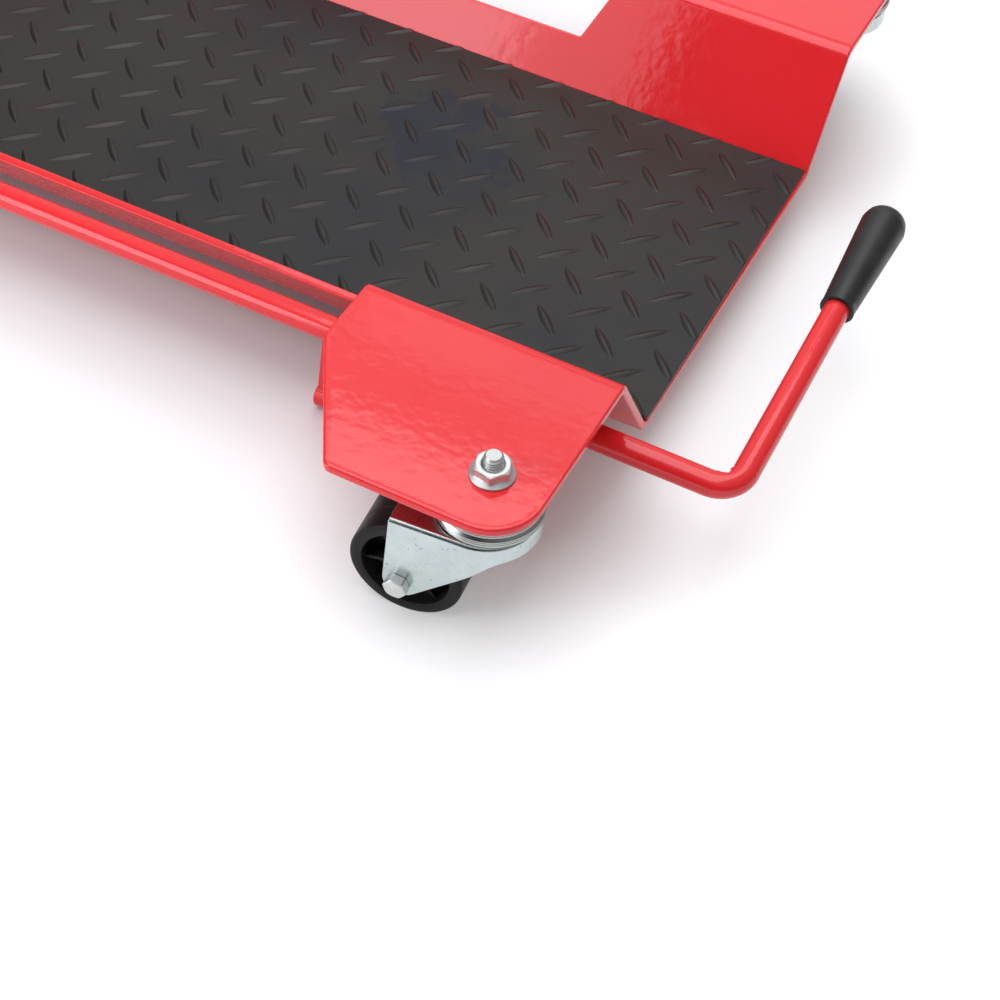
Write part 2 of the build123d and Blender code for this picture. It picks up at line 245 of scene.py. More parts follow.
def from_axes(**axes):
    """Vector with the axes that are given."""
    tree = next(iter(axes.values())).id_data
    return node(tree, "ShaderNodeCombineXYZ", axes).outputs["Vector"]


def bumped(shader, height, depth):
    """Sends a height between 0 and 1, that deep in metres, to the shader's normal."""
    bump = node(shader.id_data, "ShaderNodeBump", {"Height": height, "Distance": depth})
    feed(shader.inputs["Normal"], bump)


def to_shader(shader, **values):
    """Links values to the shader's sockets, and sets those that are the same all over."""
    for key, value in values.items():
        feed(shader.inputs[key.replace("_", " ")], value)


def tinted(colour, share):
    """Colour with every channel scaled."""
    return tuple(share * channel for channel in colour)


# Finishes

def red_powder_coat(shader, coords, paint):
    """Glossy powder coat with orange peel, faint drift of colour, dust and dull rubs."""
    drift = spread(grain(coords, 9.0, 4.0), 0.35, 0.70)
    colour = blended(drift, paint.red, paint.deep_red)
    dust = spread(grain(coords, 420.0, 1.0), 0.77, 0.82, 0.0, 0.15)
    colour = blended(dust, colour, (0.82, 0.12, 0.13))
    rub = spread(grain(coords, 26.0, 5.0, 0.65, (1.0, 3.0, 3.0)), 0.58, 0.72)
    rough = spread(rub, 0.0, 1.0, paint.roughness, paint.roughness + 0.10)
    to_shader(shader, Base_Color=colour, Roughness=rough, IOR=1.45)
    fine = spread(grain(coords, 420.0, 2.0), 0.0, 1.0, 0.0, 0.22)
    bumped(shader, calc(grain(coords, 150.0, 1.0), fine), paint.peel)


def tread_rubber(shader, coords, rubber, floor_level):
    """Dark rubber with dull patches, a fine grain, worn lens tops and a bluish stain between the lenses."""
    patch = spread(grain(coords, 9.0, 5.0, 0.55), 0.50, 0.66, 0.0, 0.55)
    ragged = spread(grain(coords, 60.0, 4.0, 0.6), 0.2, 0.8, -0.026, 0.026)
    for x, y, reach in STAIN:
        away = vector_math("DISTANCE", coords, (x, y, floor_level), "Value")
        spill = spread(calc(away, ragged), 0.68 * reach, 0.84 * reach, 1.0, 0.0)
        patch = calc(patch, spill, "MAXIMUM")
    height = axes_of(coords)["Z"]
    low = spread(height, floor_level + 0.0002, floor_level + 0.0006, 1.0, 0.25)
    patch = calc(patch, low, "MULTIPLY")
    colour = blended(patch, rubber.mat, rubber.mat_stain)
    warm = spread(grain(coords, 24.0, 4.0, 0.6), 0.42, 0.60)
    sheen = blended(warm, (1.0, 0.98, 0.90), (1.04, 0.94, 0.90))
    sheen = blended(patch, sheen, (0.76, 0.84, 0.96))
    worn = spread(height, floor_level + 0.0007, floor_level + 0.0011, 0.0, 0.30)
    worn = calc(worn, spread(grain(coords, 60.0, 3.0), 0.3, 0.7), "MULTIPLY")
    colour = blended(worn, colour, (0.040, 0.036, 0.033))
    dull = spread(grain(coords, 16.0, 5.0, 0.6), 0.35, 0.68, 0.34, 0.50)
    to_shader(shader, Base_Color=colour, Roughness=dull, Specular_Tint=sheen, Specular_IOR_Level=0.36)
    pores = calc(grain(coords, 2600.0, 2.0), grain(coords, 500.0, 2.0))
    bumped(shader, pores, 0.00004)


def pressed_zinc(shader, coords, metal):
    """Dull bluish zinc on pressed sheet, with specks and a cloudy gloss."""
    cloud = spread(grain(coords, 45.0, 4.0, 0.6), 0.35, 0.65)
    colour = blended(cloud, metal.zinc, tinted(metal.zinc, 0.86))
    speck = spread(grain(coords, 700.0, 1.0), 0.716, 0.768, 0.0, 0.8)
    colour = blended(speck, colour, (0.10, 0.095, 0.085))
    rough = spread(grain(coords, 90.0, 4.0, 0.6), 0.3, 0.7, 0.19, 0.30)
    to_shader(shader, Base_Color=colour, Roughness=rough, Metallic=1.0)
    bumped(shader, grain(coords, 650.0, 3.0), 0.00002)


def bright_zinc(shader, coords, metal):
    """Bright plating of bolts and nuts."""
    cloud = spread(grain(coords, 140.0, 3.0), 0.3, 0.7)
    colour = blended(cloud, metal.bright, tinted(metal.bright, 0.82))
    rough = spread(grain(coords, 300.0, 3.0), 0.3, 0.7, 0.46, 0.58)
    to_shader(shader, Base_Color=colour, Roughness=rough, Metallic=1.0)
    bumped(shader, grain(coords, 1400.0, 2.0), 0.00001)


def thread_zinc(shader, coords, metal):
    """Plating of the threads, darker towards the roots of the grooves, partly as oily film and partly as painted
    shade, and a little darker on the sawn tip as painted shade that dims its highlight.
    """
    groove = node(shader.id_data, "ShaderNodeAttribute", attribute_name="groove").outputs["Fac"]
    # Painted shade with oily film: the colour darkens towards the thread's roots, and a little on its sawn tip
    oil_and_shade = spread(groove, 0.35, 0.90, 0.0, 0.88)
    colour = blended(oil_and_shade, tinted(metal.bright, 0.80), (0.045, 0.043, 0.040))
    rough = spread(grain(coords, 900.0, 2.0), 0.3, 0.7, 0.38, 0.48)
    to_shader(shader, Base_Color=colour, Roughness=rough, Metallic=1.0)


def turned_steel(shader, coords, metal):
    """Bright race with the fine rings that turning leaves."""
    ring = grain(from_axes(Z=axes_of(coords)["Z"]), 2400.0, 3.0)
    share = spread(ring, 0.3, 0.7)
    colour = blended(share, tinted(metal.bright, 0.72), tinted(metal.bright, 0.48))
    rough = spread(ring, 0.3, 0.7, 0.18, 0.34)
    to_shader(shader, Base_Color=colour, Roughness=rough, Metallic=1.0)
    bumped(shader, ring, 0.00003)


def moulded_plastic(shader, coords, rubber):
    """Hard dark plastic of the wheels, slightly scuffed."""
    scuff = spread(grain(coords, 85.0, 5.0, 0.65), 0.52, 0.72)
    colour = blended(scuff, rubber.wheel, tinted(rubber.wheel, 1.9))
    rough = spread(scuff, 0.0, 1.0, 0.38, 0.55)
    to_shader(shader, Base_Color=colour, Roughness=rough, Specular_IOR_Level=0.13)
    bumped(shader, grain(coords, 900.0, 3.0), 0.00003)


def satin_plastic(shader, coords, rubber):
    """Satin black plastic of the grip with a fine leather grain."""
    drift = spread(grain(coords, 60.0, 4.0), 0.35, 0.7)
    colour = blended(drift, rubber.grip, tinted(rubber.grip, 1.7))
    rough = spread(grain(coords, 120.0, 3.0), 0.3, 0.7, 0.34, 0.46)
    to_shader(shader, Base_Color=colour, Roughness=rough, Specular_IOR_Level=0.36)
    bumped(shader, grain(coords, 1100.0, 3.0), 0.00003)


def studio_floor(shader, coords, stage):
    """Pale floor, almost even, that glows a little away from the dolly."""
    dolly_half = (0.30, 0.15, 1.0)
    outside = vector_math("SUBTRACT", vector_math("ABSOLUTE", coords), dolly_half)
    away = vector_math("LENGTH", vector_math("MAXIMUM", outside), output="Value")
    glow = spread(away, 0.0, 0.16, 0.0, 0.5)
    drift = spread(grain(coords, 0.8, 2.0), 0.3, 0.7)
    colour = blended(drift, stage.floor, tinted(stage.floor, 0.985))
    to_shader(shader, Base_Color=colour, Roughness=0.9, Specular_IOR_Level=0.1,
              Emission_Color=(1.0, 1.0, 1.0, 1.0), Emission_Strength=glow)


def finish_of(maker, *settings):
    """Material of a finish on the object's own coordinates, made once and named after its function."""
    name = maker.__name__
    if name not in bpy.data.materials:
        material = bpy.data.materials.new(name)
        material.use_nodes = True
        tree = material.node_tree
        tree.nodes.clear()
        shader = node(tree, "ShaderNodeBsdfPrincipled")
        node(tree, "ShaderNodeOutputMaterial", {"Surface": shader})
        maker(shader, node(tree, "ShaderNodeTexCoord").outputs["Object"], *settings)
    return bpy.data.materials[name]


# Meshes

def linked(name, data):
    """New object in the scene."""
    made = bpy.data.objects.new(name, data)
    bpy.context.scene.collection.objects.link(made)
    return made


def put(name, mesh, body, material, replaced=()):
    """Makes a piece from a mesh that is in place already, hangs it on its body and hides the solids it stands in
    for.
    """
    piece = linked(name, mesh)
    mesh.materials.clear()
    mesh.materials.append(material)
    for face in mesh.polygons:
        face.material_index = 0
    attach(piece, body)
    if replaced:
        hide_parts(*replaced)
    return piece


def plain_mesh(holder, name):
    """Plain mesh that the modifiers of an object leave. The object goes."""
    graph = bpy.context.evaluated_depsgraph_get()
    made = bpy.data.meshes.new_from_object(
        holder.evaluated_get(graph), preserve_all_data_layers=True, depsgraph=graph)
    made.name = name
    holder.modifiers.clear()
    bpy.data.objects.remove(holder)
    return made


def welded_copy(source):
    """Copy of a solid's mesh with its loose triangles joined and its flat faces made whole."""
    form = bmesh.new()
    form.from_mesh(frame["nodes"][source].data)
    bmesh.ops.remove_doubles(form, verts=form.verts, dist=2e-6)
    bmesh.ops.dissolve_limit(form, angle_limit=radians(0.06), verts=form.verts, edges=form.edges)
    return form


def mesh_of(form, name):
    """Mesh of a bmesh, smooth all over."""
    mesh = bpy.data.meshes.new(name)
    for face in form.faces:
        face.smooth = True
    form.to_mesh(mesh)
    form.free()
    return mesh


def softened(form, name, edge, segments=2, sharp=30.0):
    """Mesh of a bmesh, its edges that are sharper than so many degrees rounded."""
    holder = linked(name, mesh_of(form, name))
    for kind, settings in (
            ("BEVEL", {"width": edge, "segments": segments, "limit_method": "ANGLE",
                       "angle_limit": radians(sharp), "use_clamp_overlap": False, "harden_normals": False,
                       "miter_outer": "MITER_ARC"}),
            ("WEIGHTED_NORMAL", {"keep_sharp": False, "weight": 90})):
        modifier = holder.modifiers.new(kind.title(), kind)
        for key, value in settings.items():
            setattr(modifier, key, value)
    return plain_mesh(holder, name)


def shaded(mesh, sharp=38.0):
    """Smooth mesh whose corners stay crisp."""
    mesh.shade_smooth()
    mesh.set_sharp_from_angle(angle=radians(sharp))
    return mesh


def skin(form, rings, capped=False):
    """Joins each ring of points to the next by faces that point outwards."""
    for first, second in zip(rings, rings[1:]):
        for low in range(len(first)):
            high = (low + 1) % len(first)
            if first[low].co != second[low].co or first[high].co != second[high].co:
                form.faces.new((first[low], first[high], second[high], second[low]))
    if capped:
        for ring in (rings[0], rings[-1]):
            form.faces.new(ring)
    bmesh.ops.remove_doubles(form, verts=form.verts, dist=1e-8)
    bmesh.ops.recalc_face_normals(form, faces=form.faces)
    return form


def lathed(outline, name, segments):
    """Ring-shaped solid about the Y axis from a closed outline of (radius, place along Y) in millimetres.

    The outline may also be a function that gives those points for a turn.
    """
    form = bmesh.new()
    rings = []
    for step in range(segments):
        turn = tau * step / segments
        points = outline(turn) if callable(outline) else outline
        rings.append([form.verts.new((r * MM * cos(turn), y * MM, r * MM * sin(turn))) for r, y in points])
    return shaded(mesh_of(skin(form, rings + rings[:1]), name))


def hexagon(flats, turn, blunt=0.25):
    """Radius of a hexagon at a turn, its corners slightly blunted."""
    half = flats / 2
    return min(half / cos(turn % (pi / 3) - pi / 6), half / cos(pi / 6) - blunt)


def prism(section, low, high, name):
    """Straight bar along X from a closed section of (Z, Y) points in millimetres."""
    form = bmesh.new()
    ends = [[form.verts.new((x * MM, y * MM, z * MM)) for z, y in section] for x in (low, high)]
    return shaded(mesh_of(skin(form, ends, True), name))


def sliced(form, point, outward):
    """Cuts away what lies beyond a plane and closes the cut."""
    cut = bmesh.ops.bisect_plane(
        form, geom=form.verts[:] + form.edges[:] + form.faces[:], plane_co=point, plane_no=outward,
        clear_outer=True)
    rim = [item for item in cut["geom_cut"] if isinstance(item, bmesh.types.BMEdge)]
    bmesh.ops.edgenet_fill(form, edges=rim)
    return form


def path_mesh(runs, name):
    """Mesh of edges only, one chain for each run of points."""
    form = bmesh.new()
    for run in runs:
        spots = [form.verts.new(point) for point in run]
        for first, second in zip(spots, spots[1:]):
            form.edges.new((first, second))
    return mesh_of(form, name)


def wheel_pose(corner):
    """Middle of a wheel, its yaw and the direction of its axle's nut end."""
    joint = next(item for item in frame["joints"] if item["name"] == f"{corner}_roll")
    axis = Vector(joint["axis"])
    return Vector(joint["pos_m"]), atan2(-axis.x, axis.y), axis


def body_with(source):
    """Body that carries a node."""
    for body, members in frame["record"]["behaviour"]["bodies"].items():
        if source in members:
            return body
    raise ValueError(f"no body holds {source}")


def dressed(source, edge, material):
    """Softened stand-in for one node, named after it."""
    name = f"{source}_finish"
    put(name, softened(welded_copy(source), name, edge), body_with(source), material, [source])


def turned(source, outline, placing, material, segments=120):
    """Lathed stand-in for one node, named after it."""
    name = f"{source}_finish"
    mesh = lathed(outline, name, segments)
    mesh.transform(placing)
    put(name, mesh, body_with(source), material, [source])


def placed(place, yaw, lean=Matrix()):
    """Placing of a lathed piece: leaned first, then turned about the vertical, then moved."""
    return Matrix.Translation(place) @ Matrix.Rotation(yaw, 4, "Z") @ lean


def paint_node(source, material):
    """Gives a node that keeps its shape another material."""
    mesh = frame["nodes"][source].data
    mesh.materials.clear()
    mesh.materials.append(material)


# Geometry trees

SOCKET_KINDS = {int: "Int", float: "Float", tuple: "Vector"}


def geometry_tree(name, sizes):
    """New geometry tree with named sizes, a geometry and a material as inputs, and those inputs' pins."""
    tree = bpy.data.node_groups.new(name, "GeometryNodeTree")
    tree.interface.new_socket("Geometry", in_out="INPUT", socket_type="NodeSocketGeometry")
    for label, default in sizes.items():
        kind = f"NodeSocket{SOCKET_KINDS[type(default)]}"
        tree.interface.new_socket(label, in_out="INPUT", socket_type=kind).default_value = default
    tree.interface.new_socket("Material", in_out="INPUT", socket_type="NodeSocketMaterial")
    tree.interface.new_socket("Geometry", in_out="OUTPUT", socket_type="NodeSocketGeometry")
    return tree, node(tree, "NodeGroupInput").outputs


def close_tree(shape, material):
    """Ends a tree in plain geometry with its material."""
    tree = shape.id_data
    real = node(tree, "GeometryNodeRealizeInstances", {"Geometry": shape})
    coated = node(tree, "GeometryNodeSetMaterial", {"Geometry": real, "Material": material})
    node(tree, "NodeGroupOutput", {"Geometry": coated})
    return tree


def grown(mesh, name, tree, values):
    """Plain mesh that a geometry tree makes from a mesh, its inputs set by their identifiers."""
    holder = linked(name, mesh)
    modifier = holder.modifiers.new("Growth", "NODES")
    modifier.node_group = tree
    identifiers = {item.name: item.identifier for item in tree.interface.items_tree
                   if item.item_type == "SOCKET" and item.in_out == "INPUT"}
    for label, value in values.items():
        modifier[identifiers[label]] = value
    return plain_mesh(holder, name)


def tread_tree():
    """Two lattices of lenses, the second half a pitch away and turned the other way."""
    tree, pins = geometry_tree("tread_lattice", {
        "Columns": 1, "Rows": 1, "Pitch along": 1.0, "Pitch across": 1.0, "Middle": NOWHERE})
    pitches = (pins["Pitch along"], pins["Pitch across"])
    counts = (pins["Columns"], pins["Rows"])
    long, wide = (
        calc(calc(count, 1.0, "SUBTRACT"), pitch, "MULTIPLY") for count, pitch in zip(counts, pitches))
    both = node(tree, "GeometryNodeJoinGeometry")
    for turn, shift in ((-pi / 4, 0.0), (pi / 4, 0.5)):
        grid = node(tree, "GeometryNodeMeshGrid", {
            "Size X": long, "Size Y": wide, "Vertices X": counts[0], "Vertices Y": counts[1]})
        half_along, half_across = (calc(pitch, shift, "MULTIPLY") for pitch in pitches)
        place = vector_math("ADD", pins["Middle"], from_axes(X=half_along, Y=half_across))
        moved = node(tree, "GeometryNodeTransform", {"Geometry": grid, "Translation": place})
        lenses = node(tree, "GeometryNodeInstanceOnPoints", {
            "Points": moved, "Instance": pins["Geometry"], "Rotation": (0.0, 0.0, turn)})
        feed(both.inputs["Geometry"], lenses)
    return close_tree(both, pins["Material"])


def thread_tree():
    """Screw thread: a tube whose skin follows a helix and runs out in a chamfer at its tip.

    Its attribute groove is 1 at the root of the thread, 0 on its crest and chamfer, half on the sawn tip. The
    thread's finish darkens by it, partly as oily film and partly as painted shade.
    """
    tree, pins = geometry_tree("screw_thread", {
        "Radius": 1.0, "Depth": 1.0, "Pitch": 1.0, "Length": 1.0, "Chamfer": 1.0, "Around": 48, "Along": 48,
        "Base": NOWHERE, "Turn": NOWHERE})
    on_axis, tip_skin, tip_shade = 0.00001, 0.00005, 0.50
    tube = node(tree, "GeometryNodeMeshCylinder", {
        "Vertices": pins["Around"], "Side Segments": pins["Along"], "Radius": pins["Radius"],
        "Depth": pins["Length"]})
    axes = axes_of(node(tree, "GeometryNodeInputPosition").outputs[0])
    turn = calc(calc(axes["Y"], axes["X"], "ARCTAN2"), tau, "DIVIDE")
    climb = calc(axes["Z"], pins["Pitch"], "DIVIDE")
    wave = calc(calc(calc(climb, turn, "SUBTRACT"), 0.5, "PINGPONG"), 2.0, "MULTIPLY")
    crest = calc(pins["Radius"], calc(wave, pins["Depth"], "MULTIPLY"), "SUBTRACT")
    tip = calc(pins["Length"], 2.0, "DIVIDE")
    left = calc(tip, axes["Z"], "SUBTRACT")
    limit = calc(calc(pins["Radius"], pins["Chamfer"], "SUBTRACT"), left)
    radius = calc(crest, limit, "MINIMUM")
    flat = from_axes(X=axes["X"], Y=axes["Y"])
    reach = calc(vector_math("LENGTH", flat, output="Value"), on_axis, "MAXIMUM")
    skin_place = node(tree, "ShaderNodeVectorMath", {
        0: flat, "Scale": calc(radius, reach, "DIVIDE")}, operation="SCALE").outputs[0]
    spot = vector_math("ADD", skin_place, from_axes(Z=calc(axes["Z"], tip)))
    clear = spread(left, pins["Chamfer"], calc(pins["Chamfer"], 1.5, "MULTIPLY"))
    # Half a groove on the sawn tip, only so that the finish paints shade there and dims its highlight
    sawn = spread(left, 0.0, tip_skin, tip_shade, 0.0)
    groove = calc(calc(wave, clear, "MULTIPLY"), sawn, "MAXIMUM")
    marked = node(tree, "GeometryNodeStoreNamedAttribute", {
        "Geometry": tube, "Name": "groove", "Value": groove}, data_type="FLOAT", domain="POINT")
    shaped = node(tree, "GeometryNodeSetPosition", {"Geometry": marked, "Position": spot})
    seated = node(tree, "GeometryNodeTransform", {
        "Geometry": shaped, "Translation": pins["Base"], "Rotation": pins["Turn"]})
    return close_tree(seated, pins["Material"])


def bead_tree():
    """Weld bead: flattened drops that overlap along a path, each a little different."""
    tree, pins = geometry_tree("weld_bead", {"Radius": 0.002, "Spacing": 0.0016, "Seed": 7})
    smallest, largest = (0.75, 0.85, 0.85), (1.05, 1.12, 1.12)
    path = node(tree, "GeometryNodeMeshToCurve", {"Mesh": pins["Geometry"]})
    stations = node(tree, "GeometryNodeResampleCurve", {
        "Curve": path, "Length": pins["Spacing"]}, mode="LENGTH")
    drop = node(tree, "GeometryNodeMeshIcoSphere", {"Radius": pins["Radius"], "Subdivisions": 2})
    tangent = node(tree, "GeometryNodeInputTangent")
    aim = node(tree, "FunctionNodeAlignRotationToVector", {"Vector": tangent}, axis="X")
    size = node(tree, "FunctionNodeRandomValue", {
        0: smallest, 1: largest, "Seed": pins["Seed"]}, data_type="FLOAT_VECTOR")
    drops = node(tree, "GeometryNodeInstanceOnPoints", {
        "Points": stations, "Instance": drop,
        "Rotation": aim, "Scale": size})
    return close_tree(drops, pins["Material"])


def ring_tree():
    """Copies of a shape turned about the Y axis, evenly round a full turn."""
    tree, pins = geometry_tree("ring_of_ribs", {"Count": 6, "Phase": 0.0, "Middle": NOWHERE, "Yaw": 0.0})
    seats = node(tree, "GeometryNodePoints", {"Count": pins["Count"]})
    index = node(tree, "GeometryNodeInputIndex").outputs[0]
    turn = calc(calc(index, calc(tau, pins["Count"], "DIVIDE"), "MULTIPLY"), pins["Phase"])
    ribs = node(tree, "GeometryNodeInstanceOnPoints", {
        "Points": seats, "Instance": pins["Geometry"], "Rotation": from_axes(Y=turn)})
    real = node(tree, "GeometryNodeRealizeInstances", {"Geometry": ribs})
    seated = node(tree, "GeometryNodeTransform", {
        "Geometry": real, "Translation": pins["Middle"],
        "Rotation": from_axes(Z=pins["Yaw"])})
    return close_tree(seated, pins["Material"])


# Operators, one for each group of pieces

# The paint's bead along the wings: where the wings start, the flat beside their edge and the bead's width
WING_Y = 0.172
BEAD_GAP = 0.0005
BEAD_WIDTH = 0.0024


class DOLLY_OT_paint_pan(bpy.types.Operator):
    """Bent sheet with rounded cut edges and its powder coat"""
    bl_idname = "dolly.paint_pan"
    bl_label = "Paint the pan"

    def execute(self, context):
        paint = context.scene.dolly_paint
        coat = finish_of(red_powder_coat, paint)
        form = welded_copy("deck_pan")
        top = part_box("deck_pan")[1].z
        wings = [face for face in form.faces
                 if face.normal.z > 0.999 and abs(face.calc_center_median().z - top) < 0.00001]
        for width, drop in ((paint.edge + BEAD_GAP, 0.0), (BEAD_WIDTH, paint.bead)):
            bmesh.ops.inset_region(form, faces=wings, thickness=width, use_even_offset=True)
            for vert in {vert for face in wings for vert in face.verts}:
                if abs(vert.co.y) > WING_Y:
                    vert.co.z -= drop
        name = "deck_pan_finish"
        put(name, softened(form, name, paint.edge, 3), "base", coat, ["deck_pan"])
        return {"FINISHED"}


# A lens across its middle, as shares of its half width and of its height, and how it fades to its ends
LENS_SECTION = (
    (-1.05, -0.12), (-0.70, 0.32), (-0.26, 0.84), (0.0, 1.0), (0.26, 0.84), (0.70, 0.32), (1.05, -0.12))
LENS_FADE = 0.85
LENS_STATIONS = 8

# The lattice, the slant of the mat's lever end, and the bare rim at the mat's ends and sides
TREAD_COLUMNS = 25
TREAD_ROWS = 9
MAT_SLANT = Vector((1.0, 0.0075, 0.0))
BARE_END = 0.0006
BARE_SIDE = 0.0009


def lens_mesh(tread):
    """One raised lens: pointed at both ends, with a rounded back."""
    form = bmesh.new()
    rows = []
    for step in range(LENS_STATIONS + 1):
        along = step / LENS_STATIONS * 2 - 1
        swell = (1 - along * along) ** LENS_FADE
        rows.append([
            form.verts.new((along * tread.length / 2, swell * tread.width / 2 * y, swell * tread.height * z))
            for y, z in LENS_SECTION])
    return mesh_of(skin(form, rows), "tread_lens")


class DOLLY_OT_lay_mat(bpy.types.Operator):
    """Rubber mat with its raised lens tread, cut off at the mat's edges"""
    bl_idname = "dolly.lay_mat"
    bl_label = "Lay the mat"

    def execute(self, context):
        tread = context.scene.dolly_tread
        low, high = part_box("deck_mat")
        rubber = finish_of(tread_rubber, context.scene.dolly_rubber, high.z)
        corner = Vector((high.x - 0.0001, low.y, 0.0))
        sheet = sliced(welded_copy("deck_mat"), corner, MAT_SLANT)
        name = "deck_mat_finish"
        put(name, softened(sheet, name, MAT_EDGE), "base", rubber, ["deck_mat"])

        along, across = tread.pitch
        reach = (TREAD_COLUMNS - 1) // 2 * along
        middle = (high.x + tread.start[0] - reach + along, tread.start[1], high.z)
        mesh = grown(lens_mesh(tread), "mat_tread", tread_tree(), {
            "Columns": TREAD_COLUMNS, "Rows": TREAD_ROWS, "Pitch along": along, "Pitch across": across,
            "Middle": middle, "Material": rubber})
        form = bmesh.new()
        form.from_mesh(mesh)
        side = high.y - BARE_SIDE
        for point, outward in (
                ((low.x + BARE_END, 0, 0), (-1, 0, 0)), (corner - Vector((BARE_END, 0, 0)), MAT_SLANT),
                ((0, -side, 0), (0, -1, 0)), ((0, side, 0), (0, 1, 0))):
            sliced(form, point, outward)
        put("mat_tread", shaded(mesh_of(form, "mat_tread")), "base", rubber)
        return {"FINISHED"}


# The bar's rounded end: place along it and radius lost there
BAR_END = ((0.0, 0.0006), (0.0003, 0.00015), (0.0008, 0.0))
BAR_AROUND = 64
BAR_SHARP = 32.0

# The inside of the lever's bend: how far it is pinched to a corner, and its dents by turn, depth and width
BEND_STEPS = 40
BEND_PINCH = 0.72
BEND_DENTS = ((0.34, 0.00045, 0.10), (1.22, 0.00060, 0.08))


def bar_mesh(name):
    """Round bar along X that turns into the lever, its bend pinched and wrinkled on the inside."""
    low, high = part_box("brake_rod")
    corner = Vector((high.x - ROD_RADIUS, ROD_Y, ROD_Z))
    along = Vector((1.0, 0.0, 0.0))
    lever = Vector((0.0, cos(LEVER_TILT), sin(LEVER_TILT)))
    across = along.cross(lever)
    hub = corner + (lever - along) * LEVER_BEND
    stations = [
        (Vector((low.x + inset, ROD_Y, ROD_Z)), -lever, ROD_RADIUS - loss, 0.0) for inset, loss in BAR_END]
    for step in range(BEND_STEPS + 1):
        turn = pi / 2 * step / BEND_STEPS
        outward = -lever * cos(turn) + along * sin(turn)
        pinch = BEND_PINCH * (LEVER_BEND - ROD_RADIUS) * (1 / cos(min(turn, pi / 2 - turn)) - 1)
        for place, depth, width in BEND_DENTS:
            pinch -= depth * exp(-((turn - place) / width) ** 2)
        stations.append((hub + outward * LEVER_BEND, outward, ROD_RADIUS, pinch))
    stations.append((corner + lever * LEVER_LENGTH, along, ROD_RADIUS, 0.0))
    form = bmesh.new()
    rings = []
    for place, outward, radius, pinch in stations:
        ring = []
        for step in range(BAR_AROUND):
            turn = tau * step / BAR_AROUND
            inner = max(0.0, -cos(turn)) ** 1.5
            ring.append(form.verts.new(
                place + outward * (radius * cos(turn) + pinch * inner) + across * radius * sin(turn)))
        rings.append(ring)
    return shaded(mesh_of(skin(form, rings, True), name), BAR_SHARP)


class DOLLY_OT_dress_brake(bpy.types.Operator):
    """Brake bar, its feet, its grip and the gussets that carry it"""
    bl_idname = "dolly.dress_brake"
    bl_label = "Dress the brake"

    def execute(self, context):
        paint = context.scene.dolly_paint
        coat = finish_of(red_powder_coat, paint)
        put("brake_rod_finish", bar_mesh("brake_rod_finish"), "brake", coat, ["brake_rod"])
        for foot in FEET:
            dressed(foot, SMALL_EDGE, coat)
        for gusset in GUSSETS:
            dressed(gusset, paint.edge, coat)
        grip = finish_of(satin_plastic, context.scene.dolly_rubber)
        handle = shaded(mesh_of(welded_copy("lever_grip"), "lever_grip_finish"))
        put("lever_grip_finish", handle, "brake", grip, ["lever_grip"])
        return {"FINISHED"}


# How the flange nuts and the axle heads happen to be turned
NUT_TURN = radians(-11.4)
HEAD_TURN = radians(9.0)


def nut_outline(turn):
    """Outline of a flange nut above its seat: countersunk bore, chamfered hexagon, coned flange."""
    height, flat, rise = 7.6, 8.0, 0.57
    reach = hexagon(17.0, turn)
    chamfer = (reach - flat) * rise

    def cone(radius):
        return 3.1 - (radius - 8.0) * 2.05 / 3.25

    return [
        (5.0, 0.0), (5.0, 6.7), (5.75, 7.5), (5.9, height), (flat - 0.2, height), (flat, height - 0.06),
        (reach - 0.15, height - 0.05 - chamfer), (reach, height - 0.2 - chamfer), (reach, cone(reach) + 0.4),
        (reach + 0.12, cone(reach) + 0.1), (reach + 0.45, cone(reach + 0.45)),
        (10.9, 1.15), (11.15, 0.95), (11.25, 0.7), (11.25, 0.2), (11.1, 0.0),
    ]


def axle_outline(turn):
    """Outline of an axle bolt up to its thread: chamfered hexagon head and plain shank."""
    front, under, flat, rise = -34.0, -28.5, 5.0, 0.5
    shank, end = 4.0, AXLE_START / MM
    reach = hexagon(11.2, turn)
    chamfer = (reach - flat) * rise
    return [
        (0.0, front), (flat - 0.25, front), (flat, front + 0.06),
        (reach - 0.1, front + 0.1 + chamfer), (reach, front + 0.2 + chamfer),
        (reach, under - 0.35), (reach - 0.35, under), (shank, under), (shank, end), (0.0, end),
    ]


def race_outline(top):
    """Outline of a race under the sheet: four steps with fine grooves, a cavity and the balls' groove."""
    sheet, foot, bore, cavity = 91.0, 74.6, 5.3, 14.0
    ball_path, ball_height, ball_groove = 20.3, 76.7, 3.3
    steps = ((22.5, 91.0, 89.0, ()), (24.6, 87.8, 83.6, (86.4, 85.0)), (26.0, 82.4, 79.8, (81.1,)),
             (27.3, 78.6, 74.9, (77.5, 76.2)))
    points = [(bore, sheet)]
    for radius, high, low, grooves in steps:
        points += [(radius - 0.25, high + 0.05), (radius, high - 0.25)]
        for middle in grooves:
            points += [(radius, middle + 0.3), (radius - 0.35, middle), (radius, middle - 0.3)]
        points.append((radius, low))
    points.append((27.0, foot))
    for step in range(13):
        turn = radians(-39.5 + 259.0 * step / 12)
        points.append((ball_path + ball_groove * cos(turn), ball_height + ball_groove * sin(turn)))
    points += [(cavity, foot), (cavity, 87.0), (bore, 87.0)]
    return [(radius, height - sheet + top / MM) for radius, height in points]


